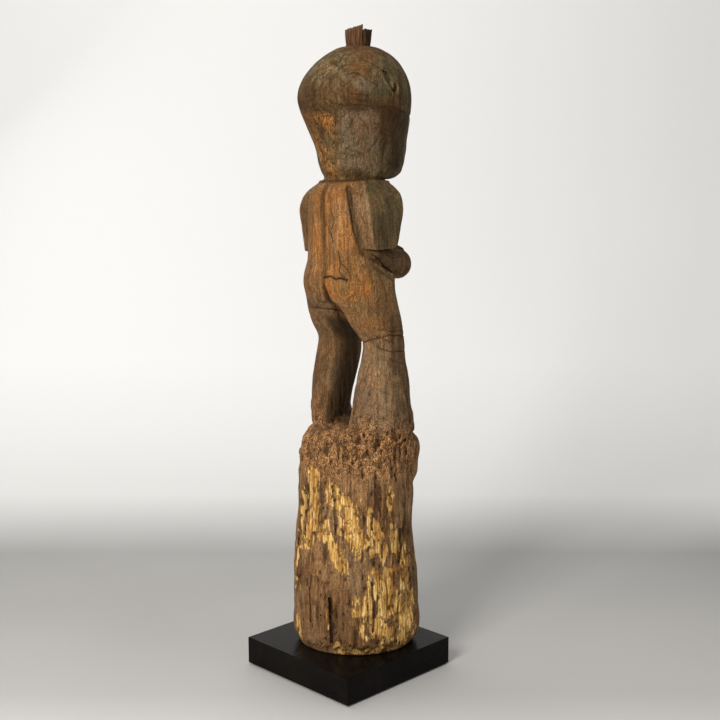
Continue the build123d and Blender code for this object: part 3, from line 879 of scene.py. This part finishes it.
    # Painted shade in the arms' grooves and down the spine
    for cut in ARM_GROOVE:
        shade = most(shade, 0.95 * (1 - ramp(cut(x, y, z), 0.4, 2.8)))
    for cut in SPINE:
        shade = most(shade, 0.85 * (1 - ramp(cut(x, y, z), 0.2, 2.2)))
    worm = ramp(noise_b(p, (3.1, 3.1, 3.1), 21.0), 0.34, 0.50) * ramp(warm_head, 0.1, 0.4)
    masks["dark"] = unit(0.70 * shade + worm)
    return masks


PLUG_Y = -8.0  # the crown's plug stands a little in front of the figure's axis
PLUG_FOOT = 818
PLUG_TAPER = 0.09  # mm of radius for each mm of height
SPLIT = 6.0  # how far the split runs from the plug's middle


def make_log():
    f = Field((-102, -102, PLINTH_TOP - 3), (102, 102, 866), LOG_VOXEL)
    carve_base(f)
    carve_body(f)
    carve_head(f)
    f.skin(9.0, lambda p: wear(p)[0])
    # The crown's socket, and a rot pocket beside it
    f.carve((-40, -40, 800), (40, 30, 870), 0.8, lambda x, y, z: np.maximum(
        np.hypot(x, y - PLUG_Y) - (12.3 + (z - PLUG_FOOT) * PLUG_TAPER) - 0.9, 816 - z))
    f.carve((-20, -10, 820), (60, 60, 870), 1.5, rod((27, 30, 843), (12, 24, 856), 4.6, 3.2))
    # Flat underside
    f.carve((-102, -102, 20), (102, 102, PLINTH_TOP + 2), 0.4, lambda x, y, z: z - PLINTH_TOP - 0.1)
    obj, p = f.mesh("carved_timber", AXIS)
    for name, values in stain(p, wear(p)[1]).items():
        attribute(obj, name, values)
    return obj


# ---------------------------------------------------------------- crown plug
def make_plug(name, side, top, slope, seed):
    """One half of the split plug, the tall one with side 1. slope is the fall of its top."""
    f = Field((-26, -26, PLUG_FOOT), (26, 26, 894), PLUG_VOXEL)
    rag = Noise(seed)

    def form(x, y, z):
        from_split = (x + y) / ROOT2 + SPLIT
        along = (y - x) / ROOT2
        round_part = np.hypot(x, y) - (12.2 + (z - PLUG_FOOT) * PLUG_TAPER)
        face = -side * from_split + 0.45
        roof = z - (top - slope * from_split * side)
        splinter = 1.2 * np.exp(-((along + 7) ** 2) / 14)
        if side > 0:
            splinter = 2.2 * np.exp(-((along - 5) ** 2) / 9) + splinter
        return smax(smax(round_part, face, 1.0), roof - splinter, 1.2)

    f.add((-26, -26, 812), (26, 26, 894), 0.5, lambda x, y, z: np.maximum(form(x, y, z), 819 - z))

    def push(p):
        fibre = rag(p, (2.6, 2.6, 26))
        fine = rag(p, (1.3, 1.3, 11), 4.0)
        top_wear = ramp(p[:, 2], top - 9, top)
        return (0.75 * fibre + 0.3 * fine - 0.8 * ramp(-fibre, 0.3, 0.6)) * (1 + 0.8 * top_wear)

    f.skin(4.0, push)
    obj, p = f.mesh(name, AXIS + np.array([0, PLUG_Y, 0]))
    attribute(obj, "fibre", rag(p, (2.6, 2.6, 26)))
    return obj


# ---------------------------------------------------------------- materials
class Nodes:
    """A material's node tree, with short calls for the nodes this scene uses."""

    def __init__(self, name):
        self.mat = bpy.data.materials.new(name)
        self.mat.use_nodes = True
        self.tree = self.mat.node_tree
        self.bsdf = self.tree.nodes["Principled BSDF"]
        self.space = self.tree.nodes.new("ShaderNodeTexCoord").outputs["Object"]

    def link(self, value, socket):
        if hasattr(value, "is_linked"):
            self.tree.links.new(value, socket)
        else:
            socket.default_value = value

    def attr(self, name):
        n = self.tree.nodes.new("ShaderNodeAttribute")
        n.attribute_name = name
        return n.outputs["Fac"]

    def mask(self, name, amount):
        return self.math("MULTIPLY", self.attr(name), amount)

    def noise(self, scale, detail=4.0, rough=0.55, distort=0.0):
        m = self.tree.nodes.new("ShaderNodeMapping")
        m.inputs["Scale"].default_value = scale
        self.tree.links.new(self.space, m.inputs["Vector"])
        n = self.tree.nodes.new("ShaderNodeTexNoise")
        n.inputs["Scale"].default_value = 1.0
        n.inputs["Detail"].default_value = detail
        n.inputs["Roughness"].default_value = rough
        n.inputs["Distortion"].default_value = distort
        self.tree.links.new(m.outputs["Vector"], n.inputs["Vector"])
        return n.outputs["Fac"]

    def ramp(self, value, *stops):
        n = self.tree.nodes.new("ShaderNodeValToRGB")
        elements = n.color_ramp.elements
        while len(elements) < len(stops):
            elements.new(0.5)
        for e, (at, colour) in zip(elements, stops):
            e.position = at
            e.color = (*colour, 1) if isinstance(colour, tuple) else (colour, colour, colour, 1)
        self.link(value, n.inputs["Fac"])
        return n.outputs["Color"]

    def math(self, op, a, b=0.0, clamp=False):
        n = self.tree.nodes.new("ShaderNodeMath")
        n.operation = op
        n.use_clamp = clamp
        self.link(a, n.inputs[0])
        self.link(b, n.inputs[1])
        return n.outputs[0]

    def mix(self, fac, a, b, blend="MIX"):
        n = self.tree.nodes.new("ShaderNodeMix")
        n.data_type = "RGBA"
        n.blend_type = blend
        self.link(fac, n.inputs[0])
        self.link((*a, 1) if isinstance(a, tuple) else a, n.inputs[6])
        self.link((*b, 1) if isinstance(b, tuple) else b, n.inputs[7])
        return n.outputs[2]

    def bump(self, height, strength, distance, normal=None):
        n = self.tree.nodes.new("ShaderNodeBump")
        n.inputs["Strength"].default_value = strength
        n.inputs["Distance"].default_value = distance
        self.link(height, n.inputs["Height"])
        if normal is not None:
            self.link(normal, n.inputs["Normal"])
        return n.outputs["Normal"]

    def finish(self, colour, rough, normal=None, specular=0.5):
        self.link(colour, self.bsdf.inputs["Base Color"])
        self.link(rough, self.bsdf.inputs["Roughness"])
        self.bsdf.inputs["Specular IOR Level"].default_value = specular
        if normal is not None:
            self.link(normal, self.bsdf.inputs["Normal"])
        return self.mat


def old_wood():
    n = Nodes("old_wood")
    grain = n.noise((420, 420, 22), 5, 0.62)
    coarse = n.noise((150, 150, 9), 4, 0.55)
    blotch = n.noise((34, 34, 26), 4, 0.6)
    patch = n.noise((13, 13, 11), 4, 0.6)
    dust = n.noise((900, 900, 500), 3, 0.6)
    shred = n.noise((520, 520, 70), 4, 0.65)
    hair = n.noise((55, 55, 24), 6, 0.62, 1.2)
    craze = n.noise((130, 130, 95), 5, 0.6, 0.8)

    # Skin of the post and legs
    base = n.ramp(
        grain,
        (0.28, (0.105, 0.047, 0.018)),
        (0.5, (0.300, 0.158, 0.065)),
        (0.72, (0.520, 0.305, 0.145)),
    )
    base = n.mix(n.ramp(blotch, (0.42, 0.0), (0.66, 0.8)), base, (0.290, 0.190, 0.095))
    base = n.mix(n.ramp(patch, (0.40, 0.6), (0.55, 0.0)), base, (0.120, 0.052, 0.020))
    base = n.mix(n.ramp(coarse, (0.34, 0.6), (0.5, 0.0)), base, (0.070, 0.032, 0.013))
    # Crumbled reddish wood at the top of the post
    crumb = n.ramp(
        dust,
        (0.38, (0.060, 0.022, 0.007)),
        (0.50, (0.290, 0.130, 0.045)),
        (0.62, (0.600, 0.340, 0.150)),
    )
    crumb = n.mix(n.ramp(craze, (0.40, 0.85), (0.47, 0.0)), crumb, (0.040, 0.016, 0.006))
    base = n.mix(n.mask("crumbled", 0.8), base, crumb)
    # Head: grey-tan, browner in places
    tan = n.ramp(
        coarse,
        (0.3, (0.058, 0.035, 0.013)),
        (0.5, (0.135, 0.094, 0.040)),
        (0.7, (0.235, 0.176, 0.092)),
    )
    tan = n.mix(n.ramp(patch, (0.40, 0.75), (0.54, 0.0)), tan, (0.125, 0.052, 0.015))
    tan = n.mix(n.ramp(blotch, (0.36, 0.7), (0.52, 0.0)), tan, (0.050, 0.028, 0.010))
    base = n.mix(n.attr("head"), base, tan)
    # Warm, worn patina
    warm = n.ramp(
        grain,
        (0.3, (0.150, 0.048, 0.010)),
        (0.5, (0.370, 0.140, 0.030)),
        (0.7, (0.560, 0.260, 0.070)),
    )
    warm = n.mix(n.ramp(blotch, (0.38, 0.8), (0.54, 0.0)), warm, (0.230, 0.120, 0.038))
    base = n.mix(n.mask("warm", 0.92), base, warm)
    # Pale wood, which along the arms' edges is a painted highlight
    pale = n.mix(grain, (0.17, 0.125, 0.075), (0.27, 0.215, 0.150))
    base = n.mix(n.mask("pale", 0.7), base, pale)
    # Green-grey, partly the wood's colour and partly painted shade on sides turned from the light
    green_and_shade = n.ramp(coarse, (0.3, (0.042, 0.036, 0.015)), (0.7, (0.125, 0.112, 0.058)))
    green_and_shade = n.mix(n.ramp(blotch, (0.5, 0.0), (0.66, 0.6)), green_and_shade, (0.150, 0.082, 0.036))
    base = n.mix(n.mask("green_and_shade", 0.85), base, green_and_shade)
    # Fine dark crackle
    lines = n.ramp(hair, (0.472, 0.0), (0.492, 1.0), (0.508, 1.0), (0.528, 0.0))
    small = n.ramp(craze, (0.470, 0.0), (0.494, 1.0), (0.506, 1.0), (0.530, 0.0))
    crackle = n.math("MAXIMUM", lines, n.math("MULTIPLY", small, 0.6))
    bite = n.math("ADD", n.mask("head", 0.28), 0.38)
    base = n.mix(n.math("MULTIPLY", crackle, bite), base, (0.024, 0.011, 0.004))
    # Fine specks, dark in the pores and light on the worn grain
    base = n.mix(n.ramp(dust, (0.38, 0.5), (0.49, 0.0)), base, (0.040, 0.020, 0.009))
    worn = n.mix(1.0, base, (1.7, 1.6, 1.5), "MULTIPLY")
    base = n.mix(n.ramp(dust, (0.52, 0.0), (0.64, 0.6)), base, worn)
    # Bare yellow wood, with a shredded edge
    edge = n.math("ADD", n.attr("loss"), n.math("MULTIPLY", n.math("SUBTRACT", shred, 0.5), 1.5))
    bare_mask = n.ramp(edge, (0.04, 0.0), (0.13, 1.0))
    bare = n.ramp(
        grain,
        (0.30, (0.150, 0.055, 0.010)),
        (0.42, (0.440, 0.215, 0.045)),
        (0.54, (0.800, 0.490, 0.150)),
        (0.66, (0.980, 0.760, 0.390)),
    )
    bare = n.mix(n.ramp(coarse, (0.36, 0.7), (0.5, 0.0)), bare, (0.250, 0.100, 0.022))
    bare = n.mix(n.ramp(craze, (0.40, 0.75), (0.46, 0.0)), bare, (0.130, 0.048, 0.012))
    bare = n.mix(n.ramp(dust, (0.30, 0.8), (0.42, 0.0)), bare, (0.110, 0.042, 0.010))
    base = n.mix(bare_mask, base, bare)
    # Hollows and cracks are dark, and the dark mask is mostly painted shade in grooves, slits and creases,
    # under the cap's edge and on sides turned from the light
    base = n.mix(n.mask("deep", 0.8), base, (0.030, 0.013, 0.005))
    base = n.mix(n.mask("line", 0.85), base, (0.014, 0.007, 0.004))
    base = n.mix(n.mask("dark", 0.92), base, (0.022, 0.013, 0.006))

    rough = n.ramp(grain, (0.3, 0.60), (0.7, 0.82))
    normal = n.bump(grain, 0.6, 0.0012)
    normal = n.bump(dust, 0.4, 0.0007, normal)
    normal = n.bump(n.math("SUBTRACT", 1.0, crackle), 0.5, 0.0009, normal)
    normal = n.bump(n.math("SUBTRACT", 1.0, bare_mask), 0.5, 0.0012, normal)
    return n.finish(base, rough, normal, 0.09)


def plug_wood(name, dark, mid, light):
    n = Nodes(name)
    grain = n.noise((700, 700, 30), 5, 0.62)
    blotch = n.noise((90, 90, 40), 3, 0.5)
    base = n.ramp(grain, (0.3, dark), (0.5, mid), (0.7, light))
    base = n.mix(n.ramp(n.attr("fibre"), (0.0, 0.0), (0.5, 0.5)), base, light)
    base = n.mix(n.ramp(blotch, (0.4, 0.6), (0.6, 0.0)), base, dark)
    return n.finish(base, n.ramp(grain, (0.3, 0.66), (0.7, 0.85)), n.bump(grain, 0.6, 0.0009), 0.12)


def black_lacquer():
    n = Nodes("plinth_lacquer")
    rubbed = n.noise((16, 16, 16), 5, 0.6)
    scratch = n.noise((380, 30, 380), 3, 0.6)
    speck = n.noise((1500, 1500, 1500), 2, 0.5)
    base = n.mix(n.ramp(rubbed, (0.4, 0.0), (0.7, 1.0)), (0.0040, 0.0031, 0.0027), (0.0095, 0.0074, 0.0060))
    base = n.mix(n.ramp(speck, (0.66, 0.0), (0.72, 0.5)), base, (0.060, 0.052, 0.045))
    rough = n.math("ADD", n.math("MULTIPLY", rubbed, 0.16), n.math("MULTIPLY", scratch, 0.10))
    rough = n.math("ADD", rough, 0.12)
    return n.finish(base, rough, n.bump(n.noise((40, 40, 40), 2, 0.4), 0.05, 0.002), 0.05)


def zinc():
    n = Nodes("zinc_plate")
    spangle = n.noise((260, 260, 260), 3, 0.5)
    base = n.ramp(spangle, (0.35, (0.42, 0.43, 0.45)), (0.65, (0.66, 0.67, 0.68)))
    n.bsdf.inputs["Metallic"].default_value = 1.0
    return n.finish(base, n.ramp(spangle, (0.3, 0.28), (0.7, 0.42)), n.bump(spangle, 0.1, 0.0004))


def felt():
    n = Nodes("black_felt")
    fuzz = n.noise((1900, 1900, 1900), 4, 0.7)
    base = n.ramp(fuzz, (0.35, (0.010, 0.010, 0.010)), (0.7, (0.045, 0.044, 0.043)))
    n.bsdf.inputs["Sheen Weight"].default_value = 0.4
    return n.finish(base, n.ramp(fuzz, (0.3, 0.85), (0.7, 1.0)), n.bump(fuzz, 0.7, 0.0006), 0.1)


def paint(obj, material):
    obj.data.materials.clear()
    obj.data.materials.append(material)


def repaint_node(node, material):
    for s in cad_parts[node].material_slots:
        s.material = material


# ---------------------------------------------------------------- build
log = make_log()
paint(log, old_wood())
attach(log, "root")
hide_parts("carved_figure")

tall = make_plug("plug_tall", 1, 886.0, 0.30, 31)
paint(tall, plug_wood(
    "plug_wood_light", (0.040, 0.018, 0.007), (0.098, 0.047, 0.020), (0.180, 0.093, 0.045)))
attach(tall, "root")
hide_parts("crown_plug_tall_half")

# The short half is the same wood as the tall one, painted darker as shade
short = make_plug("plug_short", -1, 881.0, 0.0, 37)
paint(short, plug_wood(
    "plug_wood_dark", (0.018, 0.008, 0.003), (0.054, 0.026, 0.011), (0.095, 0.050, 0.024)))
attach(short, "root")
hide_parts("crown_plug_short_half")

repaint_node("plinth", black_lacquer())
steel = zinc()
for node in ("lag_screws", "washers"):
    repaint_node(node, steel)
pad_felt = felt()
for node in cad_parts:
    if node.startswith("felt_pad"):
        repaint_node(node, pad_felt)


# ---------------------------------------------------------------- studio, m
AHEAD = Vector((1, -1, 0)).normalized()  # from the camera into the picture
RIGHT = Vector((-1, -1, 0)).normalized()
UP = Vector((0, 0, 1))
FLOOR_END, BEND, WALL_TOP = 1.0, 1.2, 5.0
MIDDLE = (0, 0, 0.45)
PITCH = math.radians(9.08)  # how far the camera looks down


def spot(ahead, right, up):
    return AHEAD * ahead + RIGHT * right + UP * up


def sweep():
    """A pale floor that curves up into a wall, square to the camera."""
    profile = [(-3.0, 0.0), (FLOOR_END, 0.0)]
    for step in range(1, 25):
        a = step / 24 * math.pi / 2
        profile.append((FLOOR_END + BEND * math.sin(a), BEND * (1 - math.cos(a))))
    profile.append((FLOOR_END + BEND, WALL_TOP))
    points = [spot(d, s, h) for d, h in profile for s in (-5, 5)]
    faces = [(2 * i, 2 * i + 2, 2 * i + 3, 2 * i + 1) for i in range(len(profile) - 1)]
    me = bpy.data.meshes.new("studio_sweep")
    me.from_pydata(points, [], faces)
    for f in me.polygons:
        f.use_smooth = True
    obj = bpy.data.objects.new("studio_sweep", me)
    bpy.context.collection.objects.link(obj)
    n = Nodes("studio_paper")
    soft = n.noise((1.4, 1.4, 1.4), 2, 0.5)
    parts = n.tree.nodes.new("ShaderNodeSeparateXYZ")
    n.tree.links.new(n.space, parts.inputs[0])
    # Painted light and shade: the paper's colour is darker across the floor near the plinth and lighter in
    # front and up the wall, by how far ahead of the plinth it lies
    ahead = n.math("MULTIPLY", n.math("SUBTRACT", parts.outputs[0], parts.outputs[1]), 0.7071)
    depth = n.math("ADD", n.math("MULTIPLY", ahead, 0.4), 0.3)
    painted_light_tone = n.ramp(
        depth,
        (0.10, (0.86, 0.86, 0.855)),
        (0.26, (0.43, 0.422, 0.410)),
        (0.50, (0.32, 0.316, 0.308)),
        (0.66, (0.74, 0.74, 0.73)),
        (0.95, (0.92, 0.92, 0.915)),
    )
    colour = n.mix(n.ramp(soft, (0.3, 0.0), (0.7, 0.12)), painted_light_tone, (0.9, 0.9, 0.9))
    paint(obj, n.finish(colour, 0.6, None, 0.15))
    return obj


def softbox(name, place, aim, size, power, colour):
    light = bpy.data.lights.new(name, "AREA")
    light.shape = "RECTANGLE"
    light.size, light.size_y = size
    light.energy = power
    light.color = colour
    obj = bpy.data.objects.new(name, light)
    bpy.context.collection.objects.link(obj)
    obj.location = place
    obj.rotation_euler = (Vector(aim) - Vector(place)).to_track_quat("-Z", "Y").to_euler()
    return obj


sweep()
softbox("key", spot(-2.0, -1.1, 1.7), MIDDLE, (0.8, 1.0), 62, (1.0, 0.965, 0.92))
softbox("fill", spot(-1.0, 2.4, 1.0), MIDDLE, (1.4, 1.6), 5, (0.97, 0.98, 1.0))
softbox("top", spot(0.0, -0.3, 2.6), MIDDLE, (1.2, 1.2), 20, (1.0, 0.99, 0.97))
softbox("wall", spot(0.9, -0.9, 2.2), spot(2.4, -0.9, 0.9), (3.0, 0.8), 8, (1.0, 1.0, 1.0))
softbox("far_side", spot(1.5, -1.3, 1.5), MIDDLE, (1.0, 1.2), 5, (1.0, 0.98, 0.95))

world = bpy.data.worlds.new("studio")
bpy.context.scene.world = world
world.use_nodes = True
background = world.node_tree.nodes["Background"]
background.inputs["Color"].default_value = (0.95, 0.94, 0.92, 1)
background.inputs["Strength"].default_value = 0.24

camera = bpy.data.cameras.new("camera")
camera.lens = 60
camera.sensor_width = 36
camera.clip_end = 50
cam = bpy.data.objects.new("camera", camera)
bpy.context.collection.objects.link(cam)
cam.location = spot(-1.630, 0.0164, 0.701)
look = AHEAD * math.cos(PITCH) - UP * math.sin(PITCH)
cam.rotation_euler = look.to_track_quat("-Z", "Y").to_euler()
bpy.context.scene.camera = cam

bpy.context.scene.view_settings.view_transform = "Standard"
